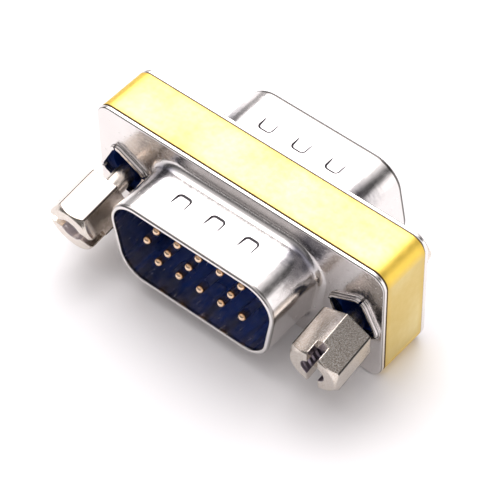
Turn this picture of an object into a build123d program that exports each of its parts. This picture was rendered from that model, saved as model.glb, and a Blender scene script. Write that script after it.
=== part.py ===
from build123d import *
import math
import os

os.makedirs("parts", exist_ok=True)

# Slim gender changer between two 15-way, three-row connectors. It stands on its long narrow side.
# +X runs along the body, -Y is the front, +Z is up. The origin is the middle of the base.

# Body: two stamped flanges with a formed band between them
body_height = 12.7
body_corner_radius = 1.5
band_depth = 4.9
band_thickness = 0.5
band_edge_radius = 0.1
flange_thickness = 0.45
flange_edge_radius = 0.16

# D-shaped shell: the sides lean in by shell_angle, the width is at the wide side's sharp corners
shell_width = 17.75
shell_height = 8.15
shell_angle = 10
shell_corner_radius = 2.45
shell_wall = 0.4
shell_reach = 5.88
shell_root_radius = 0.75
shell_rim_radius = 0.25
shell_mouth_radius = 0.1

# Pressed dimples that grip the mating shell
dimple_pitch = 3.6
dimple_count = 3
dimple_width = 1.5
dimple_length = 1.7
dimple_depth = 0.1
dimple_wall_run = 0.18
dimple_end_radius = 0.45
dimple_from_flange = 1.9

# Mouldings that carry the contacts
moulding_rise = 0.3
moulding_clearance = 0.03
moulding_edge = 0.2

# Contacts
pin_diameter = 0.76
pin_pitch = 2.29
row_pitch = 1.98
pin_below_rim = 0.8
pin_tip_radius = 0.37
pin_clearance = 0.02
blade_thickness = 0.3
blade_offset = 0.3
blade_clearance = 0.1
pin_overlap = 0.2
chamber_depth = 1.0
chamber_margin = 0.3

# Jackscrew openings: a rounded square collar formed out of each flange, split at its corners
collar_opening = 3.6
collar_wall = 0.3
collar_height = 0.4
collar_turn = 27
collar_corner_radius = 0.6
collar_root_radius = 0.15
collar_rim_radius = 0.12
collar_split = 0.2
collar_to_shell = 0.706
collar_to_edge = 0.391

# Rings between the mouldings that hold the threads captive, and the bores round them
ring_length = 0.9
ring_hole_diameter = 2.7
ring_diameter = 4.0
bore_diameter = 3.5

# Jackscrews
hex_across_flats = 4.7
hex_length = 4.2
hex_end_length = 0.5
hex_end_diameter = 4.5
slot_width = 1.1
slot_depth = 1.5
thread_hole_diameter = 2.3
thread_hole_depth = 4.0
neck_diameter = 1.9
neck_length = 6.05
thread_diameter = 2.84
thread_length = 3.9
thread_chamfer = 0.35

# Each jackscrew lies loose at rest: how far its axis lies below the opening's middle in the ring,
# the droop and outward swing of its front end, how far its hexagon stands in front of the ring's
# middle, and the angle of the hexagon's slotted corner
screw_sag = 0.3
left_droop = 8
left_swing = 0
left_stand_off = 4.9
left_corner = -6
right_droop = 8.5
right_swing = 1.7
right_stand_off = 3.55
right_corner = 84

middle = body_height / 2
flange_back = band_depth / 2
flange_face = flange_back + flange_thickness
rim_face = flange_face + shell_reach
pin_radius = pin_diameter / 2
pin_tip = rim_face - pin_below_rim
wall_height = shell_height / 2 + shell_wall
turn = math.radians(collar_turn)
collar_core = collar_opening / 2 - collar_corner_radius
collar_outer_radius = collar_corner_radius + collar_wall
collar_reach = collar_core * (math.cos(turn) + math.sin(turn)) + collar_outer_radius
split_reach = math.hypot(collar_core, collar_core) + collar_outer_radius + collar_root_radius
jack_x = shell_width / 2 + shell_wall + collar_to_shell + collar_reach
jack_places = [(-jack_x, 0), (jack_x, 0)]
body_length = 2 * (jack_x + collar_reach + collar_to_edge)
screws = {
    "left": (-1, left_droop, left_swing, left_stand_off, left_corner),
    "right": (1, right_droop, right_swing, right_stand_off, right_corner),
}

# Each face's plane stands at the body's middle and looks outwards. The rear one is the front one
# turned about the long axis, so what is drawn once serves both faces.
faces = {
    "front": Plane(origin=(0, 0, middle), x_dir=(1, 0, 0), z_dir=(0, -1, 0)),
    "rear": Plane(origin=(0, 0, middle), x_dir=(1, 0, 0), z_dir=(0, 1, 0)),
}


def draw_d(grow):
    """Draw the D outline, wide side along +y, grown outwards by an offset."""
    with BuildSketch(mode=Mode.PRIVATE) as outline:
        Trapezoid(shell_width, shell_height, 90 - shell_angle, rotation=180)
        fillet(outline.vertices(), shell_corner_radius)
        if grow:
            offset(amount=grow)
    add(outline.sketch)


def draw_openings(side, corner_radius):
    """Draw the rounded square of both jackscrew openings, turned opposite ways."""
    for place in jack_places:
        with Locations(place):
            turned = math.copysign(collar_turn, place[0])
            RectangleRounded(side, side, corner_radius, rotation=turned)


def make_dimple(face, level, depth):
    """A pressed wedge with sloped walls: deepest near the flange, it runs out towards the rim."""
    start = flange_face + dimple_from_flange
    across = face.z_dir.cross(Axis.Z.direction)
    surface = Plane(
        origin=(0, 0, middle + level),
        x_dir=face.z_dir,
        z_dir=(0, 0, math.copysign(1, depth)),
    )
    with BuildPart() as wedge:
        for sunk, narrowed in ((0, 0), (dimple_depth, dimple_wall_run)):
            with BuildSketch(surface.offset(sunk)):
                with Locations((start + dimple_length, 0)):
                    RectangleRounded(
                        2 * (dimple_length - narrowed),
                        dimple_width - 2 * narrowed,
                        dimple_end_radius - narrowed,
                    )
        loft(ruled=True)
        with BuildSketch(Plane(origin=face.origin, x_dir=face.z_dir, z_dir=across)):
            with BuildLine():
                Polyline(
                    (start, level),
                    (start + dimple_length, level),
                    (start, level + depth),
                    close=True,
                )
            make_face()
        extrude(amount=dimple_width / 2, both=True, mode=Mode.INTERSECT)
    return wedge.part


# Band: a closed frame that both flanges lie against
with BuildPart() as band:
    with BuildSketch(faces["front"].offset(-flange_back)):
        RectangleRounded(body_length, body_height, body_corner_radius)
    extrude(amount=band_depth)
    fillet(band.faces().filter_by(Axis.Y).edges(), band_edge_radius)
    with BuildSketch(faces["front"].offset(-flange_back)):
        RectangleRounded(
            body_length - 2 * band_thickness,
            body_height - 2 * band_thickness,
            body_corner_radius - band_thickness,
        )
    extrude(amount=band_depth, mode=Mode.SUBTRACT)
band.part.label = "band"
export_step(band.part, "parts/band.step")

# Shells: a flange with a drawn D shell, dimples on its long sides, and a square collar round each
# jackscrew opening
for name, face in faces.items():
    outwards = Axis(face.origin, face.z_dir)
    with BuildPart() as shell:
        with BuildSketch(face.offset(flange_back)):
            RectangleRounded(body_length, body_height, body_corner_radius)
        extrude(amount=flange_thickness)
        fillet(shell.faces().filter_by(Axis.Y).edges(), flange_edge_radius)
        with BuildSketch(face.offset(flange_back)):
            draw_d(shell_wall)
        extrude(amount=flange_thickness + shell_reach)
        flange = shell.faces().filter_by(Axis.Y).sort_by(outwards)[-2]
        fillet(flange.inner_wires()[0].edges(), shell_root_radius)
        with BuildSketch(face.offset(flange_back)):
            draw_openings(collar_opening + 2 * collar_wall, collar_outer_radius)
        extrude(amount=flange_thickness + collar_height)
        flange = shell.faces().filter_by(Axis.Y).sort_by(outwards)[-4]
        collar_roots = [
            edge
            for wire in flange.inner_wires()
            for edge in wire.edges()
            if abs(wire.center().X) > jack_x / 2
        ]
        fillet(collar_roots, collar_root_radius)
        with BuildSketch(face.offset(flange_back)):
            draw_d(0)
            draw_openings(collar_opening, collar_corner_radius)
        extrude(amount=flange_thickness + shell_reach, mode=Mode.SUBTRACT)
        fillet(shell.faces().sort_by(outwards)[-1].outer_wire().edges(), shell_rim_radius)
        fillet(shell.faces().sort_by(outwards)[-1].inner_wires()[0].edges(), shell_mouth_radius)
        collars = shell.faces().filter_by(Axis.Y).sort_by(outwards)[-2:]
        fillet(collars.edges(), collar_rim_radius)
        with BuildSketch(face.offset(flange_face)):
            for place in jack_places:
                with Locations(place):
                    for diagonal in (45, 135):
                        turned = math.copysign(collar_turn, place[0]) + diagonal
                        Rectangle(2 * split_reach, collar_split, rotation=turned)
        extrude(amount=collar_height, mode=Mode.SUBTRACT)
        with GridLocations(dimple_pitch, 1, dimple_count, 1):
            for side in (1, -1):
                add(make_dimple(face, side * wall_height, -side * dimple_depth), mode=Mode.SUBTRACT)
                add(make_dimple(face, side * shell_height / 2, -side * dimple_depth))
    shell.part.label = f"{name}_shell"
    export_step(shell.part, f"parts/{name}_shell.step")

# Contact places: row by row on the front face, numbered from the left. Place 9 has no contact.
places = {}
for row, height in enumerate((row_pitch, 0, -row_pitch)):
    for column in range(5):
        number = 5 * row + column + 1
        shift = pin_pitch / 2 if row == 1 else 0
        places[number] = ((column - 2) * pin_pitch - shift, height)
del places[9]

# Mouldings: a block that fills the band, a raised D inside the shell, bores for the jackscrews and
# a shallow chamber where the contacts cross over
for name, face in faces.items():
    outwards = Axis(face.origin, face.z_dir)
    with BuildPart() as moulding:
        with BuildSketch(face):
            RectangleRounded(
                body_length - 2 * band_thickness - 2 * moulding_clearance,
                body_height - 2 * band_thickness - 2 * moulding_clearance,
                body_corner_radius - band_thickness,
            )
        extrude(amount=flange_back)
        with BuildSketch(face):
            draw_d(-moulding_clearance)
        extrude(amount=flange_face + moulding_rise)
        chamfer(moulding.faces().sort_by(outwards)[-1].edges(), moulding_edge)
        with BuildSketch(face):
            with Locations(jack_places):
                Circle(bore_diameter / 2)
        extrude(amount=flange_back, mode=Mode.SUBTRACT)
        if name == "front":
            with BuildSketch(face):
                with Locations(jack_places):
                    Circle(ring_diameter / 2)
            extrude(amount=ring_length, mode=Mode.SUBTRACT)
        with BuildSketch(face):
            with Locations((-pin_pitch / 4, 0)):
                Rectangle(
                    4.5 * pin_pitch + pin_diameter + 2 * chamber_margin,
                    2 * row_pitch + pin_diameter + 2 * chamber_margin,
                )
        extrude(amount=chamber_depth, mode=Mode.SUBTRACT)
        with BuildSketch(face):
            with Locations(list(places.values())):
                Circle(pin_radius + pin_clearance)
        extrude(amount=flange_face + moulding_rise, mode=Mode.SUBTRACT)
    moulding.part.label = f"{name}_moulding"
    export_step(moulding.part, f"parts/{name}_moulding.step")

# Contacts: a round pin on each face. The outer rows change height through a flat blade, and the
# upper and lower blades pass each other on opposite sides of their pins.
blade_end = chamber_depth - blade_clearance
for number, (x, height) in places.items():
    with BuildPart() as contact:
        for face in faces.values():
            pin_start = blade_end - pin_overlap if height else 0
            with BuildSketch(face.offset(pin_start)):
                with Locations((x, height)):
                    Circle(pin_radius)
            extrude(amount=pin_tip - pin_start)
            outwards = Axis(face.origin, face.z_dir)
            fillet(contact.edges().sort_by(outwards)[-1], pin_tip_radius)
        if height:
            with BuildSketch(Plane.YZ.offset(x + math.copysign(blade_offset, height))):
                with BuildLine():
                    Polyline(
                        (-blade_end, middle + height + pin_radius),
                        (-blade_end, middle + height - pin_radius),
                        (blade_end, middle - height - pin_radius),
                        (blade_end, middle - height + pin_radius),
                        close=True,
                    )
                make_face()
            extrude(amount=blade_thickness / 2, both=True)
    contact.part.label = f"contact_{number}"
    export_step(contact.part, f"parts/contact_{number}.step")

for name, (side, droop, swing, stand_off, corner) in screws.items():
    # Ring: trapped between the mouldings, its hole passes the neck but not the thread
    with BuildPart() as ring:
        with BuildSketch(faces["front"]):
            with Locations((side * jack_x, 0)):
                Circle(ring_diameter / 2)
                Circle(ring_hole_diameter / 2, mode=Mode.SUBTRACT)
        extrude(amount=ring_length)
    ring.part.label = f"{name}_ring"
    export_step(ring.part, f"parts/{name}_ring.step")

    # Jackscrew: it lies loose in the ring, so its front end droops. Its own axis points forwards.
    tilt = math.radians(droop)
    yaw = math.radians(side * swing)
    axis_plane = Plane(
        origin=(side * jack_x, -ring_length / 2, middle - screw_sag),
        x_dir=(math.cos(yaw), math.sin(yaw), 0),
        z_dir=(
            math.sin(yaw) * math.cos(tilt),
            -math.cos(yaw) * math.cos(tilt),
            -math.sin(tilt),
        ),
    )
    screw_axis = Axis(axis_plane.origin, axis_plane.z_dir)
    profile_plane = Plane(
        origin=axis_plane.origin, x_dir=axis_plane.x_dir, z_dir=-axis_plane.y_dir
    )
    hex_radius = hex_across_flats / math.sqrt(3)
    hex_end = stand_off + hex_length + hex_end_length
    shoulder = stand_off - neck_length
    with BuildPart() as turned_blank:
        with BuildSketch(profile_plane):
            with BuildLine():
                Polyline(
                    (0, stand_off),
                    (hex_radius, stand_off),
                    (hex_radius, stand_off + hex_length),
                    (hex_end_diameter / 2, hex_end),
                    (0, hex_end),
                    close=True,
                )
            make_face()
        revolve(axis=screw_axis)
    with BuildPart() as jackscrew:
        with BuildSketch(axis_plane.offset(stand_off)):
            RegularPolygon(hex_radius, 6, rotation=corner)
        extrude(amount=hex_length + hex_end_length)
        add(turned_blank.part, mode=Mode.INTERSECT)
        with BuildSketch(axis_plane.offset(hex_end)):
            Circle(thread_hole_diameter / 2)
        extrude(amount=-thread_hole_depth, mode=Mode.SUBTRACT)
        with BuildSketch(axis_plane.offset(hex_end)):
            Rectangle(2 * hex_radius, slot_width, rotation=corner)
        extrude(amount=-slot_depth, mode=Mode.SUBTRACT)
        with BuildSketch(profile_plane):
            with BuildLine():
                Polyline(
                    (0, stand_off),
                    (neck_diameter / 2, stand_off),
                    (neck_diameter / 2, shoulder),
                    (thread_diameter / 2, shoulder - thread_chamfer),
                    (thread_diameter / 2, shoulder - thread_length + thread_chamfer),
                    (thread_diameter / 2 - thread_chamfer, shoulder - thread_length),
                    (0, shoulder - thread_length),
                    close=True,
                )
            make_face()
        revolve(axis=screw_axis)
    jackscrew.part.label = f"{name}_jackscrew"
    export_step(jackscrew.part, f"parts/{name}_jackscrew.step")
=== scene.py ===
import bpy
import numpy as np
from mathutils import Matrix


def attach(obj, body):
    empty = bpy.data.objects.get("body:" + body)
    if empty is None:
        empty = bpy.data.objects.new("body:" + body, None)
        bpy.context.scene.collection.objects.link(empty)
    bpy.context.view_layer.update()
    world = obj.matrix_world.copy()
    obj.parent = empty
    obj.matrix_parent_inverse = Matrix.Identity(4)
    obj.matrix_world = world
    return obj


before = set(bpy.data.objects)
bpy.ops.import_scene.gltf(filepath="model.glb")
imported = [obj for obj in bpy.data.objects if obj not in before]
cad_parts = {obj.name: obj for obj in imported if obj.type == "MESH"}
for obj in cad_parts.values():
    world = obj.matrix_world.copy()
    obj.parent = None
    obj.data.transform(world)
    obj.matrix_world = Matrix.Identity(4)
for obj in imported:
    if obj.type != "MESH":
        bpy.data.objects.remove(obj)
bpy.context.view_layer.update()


# Shells: each is one flange with a drawn D shell, bright tin plating on steel. The plating mirrors
# the studio a little unevenly, with fine marks along the drawing direction.
def linear(hex_colour):
    """sRGB hex to linear RGBA: c/12.92 below 0.04045, ((c + 0.055)/1.055)^2.4 above."""
    c = np.array([int(hex_colour[i:i + 2], 16) / 255 for i in (1, 3, 5)])
    c = np.where(c <= 0.04045, c / 12.92, ((c + 0.055) / 1.055) ** 2.4)
    return (*c.tolist(), 1.0)


def add_node(tree, kind, settings=None, **inputs):
    """Adds a node, sets its properties and sets or links inputs: i3 is input 3, others go by name."""
    made = tree.nodes.new(kind)
    for key, value in (settings or {}).items():
        setattr(made, key, value)
    for key, value in inputs.items():
        by_number = key[0] == "i" and key[1:].isdigit()
        socket = made.inputs[int(key[1:]) if by_number else key.replace("_", " ")]
        if isinstance(value, bpy.types.NodeSocket):
            tree.links.new(value, socket)
        else:
            socket.default_value = value
    return made


def new_material(name, **surface):
    """A material with one Principled surface; returns it, its node tree and the shader."""
    made = bpy.data.materials.new(name)
    made.use_nodes = True
    tree = made.node_tree
    tree.nodes.clear()
    shader = add_node(tree, "ShaderNodeBsdfPrincipled", None, **surface)
    output = add_node(tree, "ShaderNodeOutputMaterial")
    tree.links.new(shader.outputs[0], output.inputs[0])
    return made, tree, shader


def noise(tree, place, scale, detail=3.0):
    """Cloudy noise; scale is one number or one per axis, in repeats per metre."""
    if isinstance(scale, tuple):
        place = add_node(tree, "ShaderNodeMapping", None, Vector=place, Scale=scale).outputs[0]
        scale = 1.0
    return add_node(tree, "ShaderNodeTexNoise", None, Vector=place, Scale=scale, Detail=detail).outputs[0]


def ramp(tree, value, start, end, low, high):
    """Goes from low to high while the value goes from start to end."""
    return add_node(tree, "ShaderNodeMapRange", None, Value=value, i1=start, i2=end, i3=low, i4=high).outputs[0]


def blend(tree, factor, first, second):
    """Mixes two colours, each a hex or a socket."""
    ends = [linear(c) if isinstance(c, str) else c for c in (first, second)]
    return add_node(tree, "ShaderNodeMix", {"data_type": "RGBA"}, i0=factor, i6=ends[0], i7=ends[1]).outputs[2]


def calc(tree, operation, first, second=0.0):
    """One step of arithmetic on sockets or numbers."""
    return add_node(tree, "ShaderNodeMath", {"operation": operation}, i0=first, i1=second).outputs[0]


def finish_surface(tree, shader, colour, rough, height, strength):
    """Links colour and roughness, and a bump of 10 micrometres times strength."""
    tree.links.new(colour, shader.inputs["Base Color"])
    tree.links.new(rough, shader.inputs["Roughness"])
    bump = add_node(tree, "ShaderNodeBump", None, Height=height, Strength=strength, Distance=0.00001)
    tree.links.new(bump.outputs[0], shader.inputs["Normal"])
    return bump


def dress(names, material):
    for name in names:
        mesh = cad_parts[name].data
        mesh.materials.clear()
        mesh.materials.append(material)


tin, tree, shader = new_material("tinned_steel", Metallic=1.0)
place = add_node(tree, "ShaderNodeTexCoord").outputs["Object"]
marks = noise(tree, place, (3200.0, 1100.0, 3200.0))
cloud = noise(tree, place, 260.0)
colour = blend(tree, cloud, "#e1dddc", "#f1edeb")
# Painted shade darkens each pressed dimple along its sloped walls: the distance to its rounded outline, over
# the width that the wall still has there, runs from 0 to 1 across the wall
split = add_node(tree, "ShaderNodeSeparateXYZ", None, Vector=place)
to_middle = calc(tree, "PINGPONG", split.outputs[0], 0.0018)
to_flange = calc(tree, "SUBTRACT", 0.0065, calc(tree, "ABSOLUTE", split.outputs[1]))
beside = calc(tree, "MAXIMUM", calc(tree, "SUBTRACT", to_middle, 0.0003))
behind = calc(tree, "MAXIMUM", calc(tree, "SUBTRACT", to_flange, 0.00125))
corner_gap = calc(tree, "SQRT", calc(tree, "ADD", calc(tree, "POWER", beside, 2.0), calc(tree, "POWER", behind, 2.0)))
inside = calc(tree, "SUBTRACT", 0.00045, corner_gap)
wall = ramp(tree, to_flange, 0.0, 0.0017, 0.00009, 0.00022)
over_wall = calc(tree, "DIVIDE", inside, wall)
shade = calc(tree, "MULTIPLY", ramp(tree, over_wall, -0.5, 0.1, 0.0, 0.92), ramp(tree, over_wall, 0.9, 1.5, 1.0, 0.0))
near_ends = calc(tree, "LESS_THAN", calc(tree, "ABSOLUTE", split.outputs[0]), 0.0054)
long_side = calc(tree, "GREATER_THAN", calc(tree, "ABSOLUTE", calc(tree, "SUBTRACT", split.outputs[2], 0.00635)), 0.0042)
starts = ramp(tree, to_flange, -0.0001, 0.0006, 0.0, 1.0)
shade = calc(tree, "MULTIPLY", calc(tree, "MULTIPLY", shade, starts), calc(tree, "MULTIPLY", near_ends, long_side))
colour = blend(tree, shade, colour, "#25232b")
# The rounded edges of the rim and the flange are painted grey as painted shade where they mirror the dark walls,
# stronger on the rear rim
outward = calc(tree, "ABSOLUTE", split.outputs[1])
painted_rim_line = calc(tree, "MULTIPLY", ramp(tree, outward, 0.00840, 0.00846, 0.0, 1.0), ramp(tree, outward, 0.00871, 0.00876, 1.0, 0.0))
painted_rim_line = calc(tree, "MULTIPLY", painted_rim_line, ramp(tree, split.outputs[1], -0.001, 0.001, 0.6, 0.92))
painted_edge_line = calc(tree, "MULTIPLY", ramp(tree, outward, 0.00276, 0.00280, 0.0, 0.65), ramp(tree, outward, 0.00286, 0.00289, 1.0, 0.0))
colour = blend(tree, calc(tree, "ADD", painted_rim_line, painted_edge_line), colour, "#4c4845")
# Painted shade: a mottled blue grey on the shells' rounded corners, most beside the flange
painted_shade_mottle = noise(tree, place, (1300.0, 2600.0, 1300.0))
painted_shade_by_flange = ramp(tree, calc(tree, "ADD", outward, calc(tree, "MULTIPLY", painted_shade_mottle, 0.0024)), 0.0049, 0.0082, 0.87, 0.0)
painted_shade_by_flange = calc(tree, "MULTIPLY", painted_shade_by_flange, ramp(tree, outward, 0.0029, 0.0033, 0.0, 1.0))
upward = calc(tree, "ABSOLUTE", calc(tree, "SUBTRACT", split.outputs[2], 0.00635))
painted_corner_shade = calc(tree, "MULTIPLY", ramp(tree, upward, 0.0024, 0.0034, 0.0, 1.0), ramp(tree, calc(tree, "ABSOLUTE", split.outputs[0]), 0.0054, 0.0068, 0.0, 1.0))
colour = blend(tree, calc(tree, "MULTIPLY", painted_shade_by_flange, painted_corner_shade), colour, "#4d4d5c")
# The collars round the jackscrews get grey painted shade along their roots and their rounded rims
painted_root_shade = calc(tree, "MULTIPLY", ramp(tree, outward, 0.00291, 0.00294, 0.0, 0.75), ramp(tree, outward, 0.00302, 0.00306, 1.0, 0.0))
painted_rim_line = calc(tree, "MULTIPLY", ramp(tree, outward, 0.00318, 0.00320, 0.0, 0.75), ramp(tree, outward, 0.00327, 0.00329, 1.0, 0.0))
outer = calc(tree, "GREATER_THAN", calc(tree, "ABSOLUTE", split.outputs[0]), 0.0099)
colour = blend(tree, calc(tree, "MULTIPLY", calc(tree, "ADD", painted_root_shade, painted_rim_line), outer), colour, "#4c4845")
finish_surface(tree, shader, colour, ramp(tree, marks, 0.3, 0.7, 0.14, 0.28), marks, 0.6)
dress(["front_shell", "rear_shell"], tin)

# Band: zinc plated steel strip with yellow chromate, with a painted sheen: straw on the flats, golden
# where the strip is bent and towards the long edges, and painted shade in the seams beside the flanges
chromate, tree, shader = new_material("yellow_chromate", Metallic=1.0)
place = add_node(tree, "ShaderNodeTexCoord").outputs["Object"]
split = add_node(tree, "ShaderNodeSeparateXYZ", None, Vector=place)
cloud = noise(tree, place, 170.0)
grain = noise(tree, place, 1800.0)
along = calc(tree, "ABSOLUTE", split.outputs[0])
across = calc(tree, "ABSOLUTE", split.outputs[1])
upward = calc(tree, "ABSOLUTE", calc(tree, "SUBTRACT", split.outputs[2], 0.00635))
bent = calc(tree, "MULTIPLY", ramp(tree, along, 0.0136, 0.0146, 0.0, 1.0), ramp(tree, upward, 0.0046, 0.0056, 0.0, 1.0))
colour = blend(tree, ramp(tree, cloud, 0.35, 0.65, 0.0, 1.0), "#d1ba74", "#dac98f")
# Painted sheen: the bends and the long edges are painted deeper gold than the paler flats
colour = blend(tree, bent, colour, "#eecd5c")
colour = blend(tree, ramp(tree, across, 0.0018, 0.00236, 0.0, 0.45), colour, "#d0ae4e")
# Painted shade in the seams beside the flanges
colour = blend(tree, ramp(tree, across, 0.00234, 0.0024, 0.0, 1.0), colour, "#5f4c33")
finish_surface(tree, shader, colour, ramp(tree, grain, 0.3, 0.7, 0.42, 0.52), grain, 0.2)
dress(["band"], chromate)

# Mouldings: navy glass filled polyester, smooth from the mould
navy, tree, shader = new_material("navy_polyester", IOR=1.57, Specular_IOR_Level=0.06)
place = add_node(tree, "ShaderNodeTexCoord").outputs["Object"]
cloud = noise(tree, place, 500.0, 4.0)
colour = blend(tree, cloud, "#0d2e78", "#133683")
finish_surface(tree, shader, colour, ramp(tree, cloud, 0.3, 0.7, 0.3, 0.45), cloud, 0.3)
dress(["front_moulding", "rear_moulding"], navy)

# Contacts: brass pins, nickel plated and tinted blue as a painted reflection of the navy moulding,
# with a gold flash only on the ends, painted pale at the tips as a painted highlight
gold, tree, shader = new_material("gold_flash", Metallic=1.0)
place = add_node(tree, "ShaderNodeTexCoord").outputs["Object"]
cloud = noise(tree, place, 2500.0, 2.0)
split = add_node(tree, "ShaderNodeSeparateXYZ", None, Vector=place)
across = calc(tree, "ABSOLUTE", split.outputs[1])
# The nickel's blue tint is a painted reflection of the navy moulding
colour = blend(tree, cloud, "#b9bfd6", "#c9cee0")
colour = blend(tree, ramp(tree, across, 0.0070, 0.0076, 0.0, 1.0), colour, "#dfb184")
# Painted highlight: the tips are painted pale
colour = blend(tree, ramp(tree, across, 0.0077, 0.0080, 0.0, 0.75), colour, "#fbe8d4")
finish_surface(tree, shader, colour, ramp(tree, across, 0.0062, 0.0074, 0.38, 0.2), cloud, 0.2)
dress([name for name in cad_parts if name.startswith("contact_")], gold)

# Jackscrews and rings: steel turned from hexagon bar, nickel plated, fine grained, with edges
# broken just enough to catch a line of light or shade. The holes are painted darker as painted
# shade. Each screw's mouth is the middle of its slotted end and forward its axis.
POSES = {}
for side, droop, swing, stand_off in ((-1, 8.0, 0.0, 4.9), (1, 8.5, 1.7, 3.55)):
    tilt, yaw = np.radians([droop, side * swing])
    forward = np.array([np.sin(yaw) * np.cos(tilt), -np.cos(yaw) * np.cos(tilt), -np.sin(tilt)])
    sideways = np.array([np.cos(yaw), np.sin(yaw), 0.0])
    axes = np.stack([sideways, np.cross(forward, sideways), forward])
    mouth = np.array([side * 12.495, -0.45, 6.05]) + (stand_off + 4.7) * forward
    POSES["left" if side < 0 else "right"] = (axes, mouth * 0.001)


def nickel_plate(name, upward, forward, mouth, hole_shade_colour):
    """Nickel with fine grain; painted shade in the hole, within 1.2 mm of the axis and 4.5 mm behind the mouth."""
    nickel, tree, shader = new_material(name, Metallic=1.0)
    place = add_node(tree, "ShaderNodeTexCoord").outputs["Object"]
    grain = noise(tree, place, 12000.0, 2.0)
    cloud = noise(tree, place, 400.0)
    offset = add_node(tree, "ShaderNodeVectorMath", {"operation": "SUBTRACT"}, i0=place, i1=mouth)
    depth = add_node(tree, "ShaderNodeVectorMath", {"operation": "DOT_PRODUCT"}, i0=offset.outputs[0], i1=forward)
    length = add_node(tree, "ShaderNodeVectorMath", {"operation": "LENGTH"}, i0=offset.outputs[0])
    depth, length = depth.outputs["Value"], length.outputs["Value"]
    off_axis = calc(tree, "SUBTRACT", calc(tree, "POWER", length, 2.0), calc(tree, "POWER", depth, 2.0))
    off_axis = calc(tree, "SQRT", calc(tree, "MAXIMUM", off_axis))
    hole = calc(
        tree, "MULTIPLY",
        ramp(tree, off_axis, 0.00117, 0.00121, 1.0, 0.0), ramp(tree, depth, -0.0045, -0.0042, 0.0, 1.0),
    )
    colour = blend(tree, ramp(tree, grain, 0.35, 0.65, 0.0, 1.0), blend(tree, cloud, "#c1b1a1", "#d2c6b9"), "#ece7e1")
    colour = blend(tree, hole, colour, hole_shade_colour)
    # The bar's long corners are painted with grey lines of painted shade, except one that lies on top, left bright
    height = add_node(tree, "ShaderNodeVectorMath", {"operation": "DOT_PRODUCT"}, i0=offset.outputs[0], i1=upward)
    painted_corner_shade = calc(tree, "MULTIPLY", ramp(tree, off_axis, 0.00264, 0.00267, 0.0, 0.94), ramp(tree, depth, -0.0050, -0.0047, 0.0, 1.0))
    painted_corner_shade = calc(tree, "MULTIPLY", painted_corner_shade, ramp(tree, height.outputs["Value"], 0.00252, 0.00256, 1.0, 0.0))
    colour = blend(tree, painted_corner_shade, colour, "#3d3937")
    rough = calc(tree, "ADD", ramp(tree, grain, 0.3, 0.7, 0.12, 0.24), calc(tree, "MULTIPLY", hole, 0.2))
    bump = finish_surface(tree, shader, colour, rough, grain, 0.35)
    rounded = add_node(tree, "ShaderNodeBevel", {"samples": 4}, Radius=0.00012)
    tree.links.new(rounded.outputs[0], bump.inputs["Normal"])
    return nickel


# Each screw's hole gets its own painted shade: paler in the left screw, darker in the right
for name, hole_shade_colour in (("left", "#dcd4d6"), ("right", "#958c97")):
    axes, mouth = POSES[name]
    nickel = nickel_plate(f"{name}_nickel_plate", tuple(axes[1]), tuple(axes[2]), tuple(mouth), hole_shade_colour)
    dress([f"{name}_jackscrew", f"{name}_ring"], nickel)

# Threads: a helical ridge in each head's hole and on each tail. Lengths along the axis are in mm
# from the mouth, and the slot's angle is in degrees.
SLOT_HALF_WIDTH = 0.55
SLOT_DEPTH = 1.5
PITCH = 0.5


def thread_ridge(name, pose, radius, crest, start, end, slot_angle):
    """A ridge of triangular section: at angle a it lies at start + pitch*a/2pi along the axis.

    The crest stands out by crest from the radius and the feet are sunk by 0.02 mm the other way.
    Both fade at the ends and where the slot takes the wall away."""
    axes, mouth = pose
    count = int(round((end - start) / PITCH * 36)) + 1
    angle = np.arange(count) * np.pi / 18
    middle = start + angle * PITCH / (2 * np.pi)
    fade = np.clip(np.minimum(middle - start, end - middle) / (0.3 * PITCH), 0, 1)
    from_slot = np.abs(radius * np.sin(angle - np.radians(slot_angle))) - SLOT_HALF_WIDTH
    in_slot = middle > -SLOT_DEPTH - 0.5 * PITCH
    fade = np.where(in_slot, np.minimum(fade, np.clip(from_slot / 0.15, 0, 1)), fade)
    foot = radius - 0.02 * np.sign(crest)
    reach = np.stack([np.full(count, foot), foot + (radius + crest - foot) * fade, np.full(count, foot)], 1)
    height = middle[:, None] + np.array([-0.4, 0, 0.4]) * PITCH
    local = np.stack([reach * np.cos(angle)[:, None], reach * np.sin(angle)[:, None], height], -1)
    points = local.reshape(-1, 3) @ axes * 0.001 + mouth
    cut = in_slot & (from_slot < 0.02)
    step = np.flatnonzero(~(cut[:-1] | cut[1:])) * 3
    faces = np.concatenate([np.stack([step + k, step + k + 1, step + k + 4, step + k + 3], 1) for k in (0, 1)])
    mesh = bpy.data.meshes.new(name)
    mesh.from_pydata(points.tolist(), [], faces.tolist())
    mesh.materials.append(bpy.data.materials[f"{name.split('_')[0]}_nickel_plate"])
    ridge = bpy.data.objects.new(name, mesh)
    bpy.context.scene.collection.objects.link(ridge)
    return ridge


for name, slot_angle in (("left", -6.0), ("right", 84.0)):
    inside = thread_ridge(f"{name}_head_thread", POSES[name], 1.15, -0.13, -3.7, -0.35, slot_angle)
    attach(inside, f"{name}_jackscrew")
    outside = thread_ridge(f"{name}_tail_thread", POSES[name], 1.42, 0.11, -14.25, -11.15, slot_angle)
    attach(outside, f"{name}_jackscrew")

# Floor: a flat white card that reaches well past the picture
floor_mesh = bpy.data.meshes.new("white_floor")
floor_mesh.from_pydata(
    [(-0.7, -0.7, 0), (0.7, -0.7, 0), (0.7, 0.7, 0), (-0.7, 0.7, 0)],
    [],
    [(0, 1, 2, 3)],
)
floor = bpy.data.objects.new("white_floor", floor_mesh)
bpy.context.scene.collection.objects.link(floor)
paper, tree, shader = new_material("white_card", Base_Color=linear("#f4f3f4"), Roughness=0.75)
floor_mesh.materials.append(paper)

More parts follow.
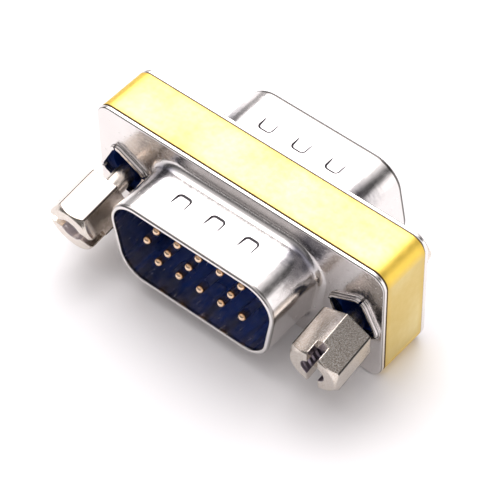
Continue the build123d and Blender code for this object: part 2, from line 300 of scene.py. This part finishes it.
# Studio: a bright panel above and behind on the left, a pale ceiling with a dark gap in it on the
# right, and low walls that are bright at the right and dark behind; all of them show in the plating
world = bpy.data.worlds.new("studio")
bpy.context.scene.world = world
world.use_nodes = True
tree = world.node_tree
tree.nodes.clear()
heading = add_node(tree, "ShaderNodeTexCoord").outputs["Generated"]
split = add_node(tree, "ShaderNodeSeparateXYZ", None, Vector=heading)
smooth = {"interpolation_type": "SMOOTHSTEP"}


def toward(direction, start, end, low, high):
    """A value that goes smoothly from low to high as the view turns from cosine start to end."""
    cosine = add_node(tree, "ShaderNodeVectorMath", {"operation": "DOT_PRODUCT"}, i0=heading, i1=direction)
    eased = add_node(
        tree, "ShaderNodeMapRange", smooth,
        Value=cosine.outputs["Value"], i1=start, i2=end, i3=low, i4=high,
    )
    return eased.outputs[0]


low_wall = calc(
    tree, "ADD", toward((0.93, 0.37, 0.05), 0.45, 0.80, 0.16, 1.4), toward((-0.87, 0.45, 0.2), 0.75, 0.95, 0.0, 0.3)
)
ceiling = add_node(
    tree, "ShaderNodeMapRange", smooth,
    Value=split.outputs["Y"], i1=-0.60, i2=0.0, i3=0.55, i4=1.45,
)
walls = add_node(
    tree, "ShaderNodeMapRange", smooth,
    Value=split.outputs["Z"], i1=0.38, i2=0.58, i3=low_wall, i4=ceiling.outputs[0],
)
gap = toward((0.41, 0.47, 0.78), 0.82, 0.96, 1.0, 0.08)
panel_foot = add_node(tree, "ShaderNodeMapRange", smooth, Value=split.outputs["Z"], i1=0.42, i2=0.58, i3=0.0, i4=1.0)
to_panel = (-0.43, 0.49, 0.76)
panel = calc(tree, "ADD", toward(to_panel, 0.88, 0.95, 0.0, 2.0), toward(to_panel, 0.55, 0.90, 0.0, 1.1))
panel = calc(tree, "MULTIPLY", panel, panel_foot.outputs[0])
glow = calc(tree, "ADD", calc(tree, "MULTIPLY", walls.outputs[0], gap), panel)
sky = add_node(tree, "ShaderNodeBackground", None, Color=(1.0, 0.97, 0.975, 1.0), Strength=glow)
output = add_node(tree, "ShaderNodeOutputWorld", None, Surface=sky.outputs[0])

# Camera: a long lens from the upper right, found from the pin pitch and the body's edges
azimuth, elevation, roll = np.radians([41.035, 49.304, -1.196])
view = np.array([-np.sin(azimuth) * np.cos(elevation), np.cos(azimuth) * np.cos(elevation), -np.sin(elevation)])
level = np.array([np.cos(azimuth), np.sin(azimuth), 0.0])
rise = np.cross(level, view)
across = level * np.cos(roll) + rise * np.sin(roll)
above = -level * np.sin(roll) + rise * np.cos(roll)
lens = bpy.data.cameras.new("camera")
lens.lens = 2453.02 * 36 / 500
lens.sensor_width = 36
lens.shift_x = -9.496 / 500
lens.shift_y = -30.665 / 500
lens.clip_start = 0.01
camera = bpy.data.objects.new("camera", lens)
camera.matrix_world = Matrix([[*row, 0] for row in np.stack([across, above, -view], 1)] + [[0, 0, 0, 1]])
camera.location = -view * 0.205234 + np.array([0, 0, 0.00635])
bpy.context.scene.collection.objects.link(camera)
bpy.context.scene.camera = camera
bpy.context.scene.view_settings.view_transform = "Standard"
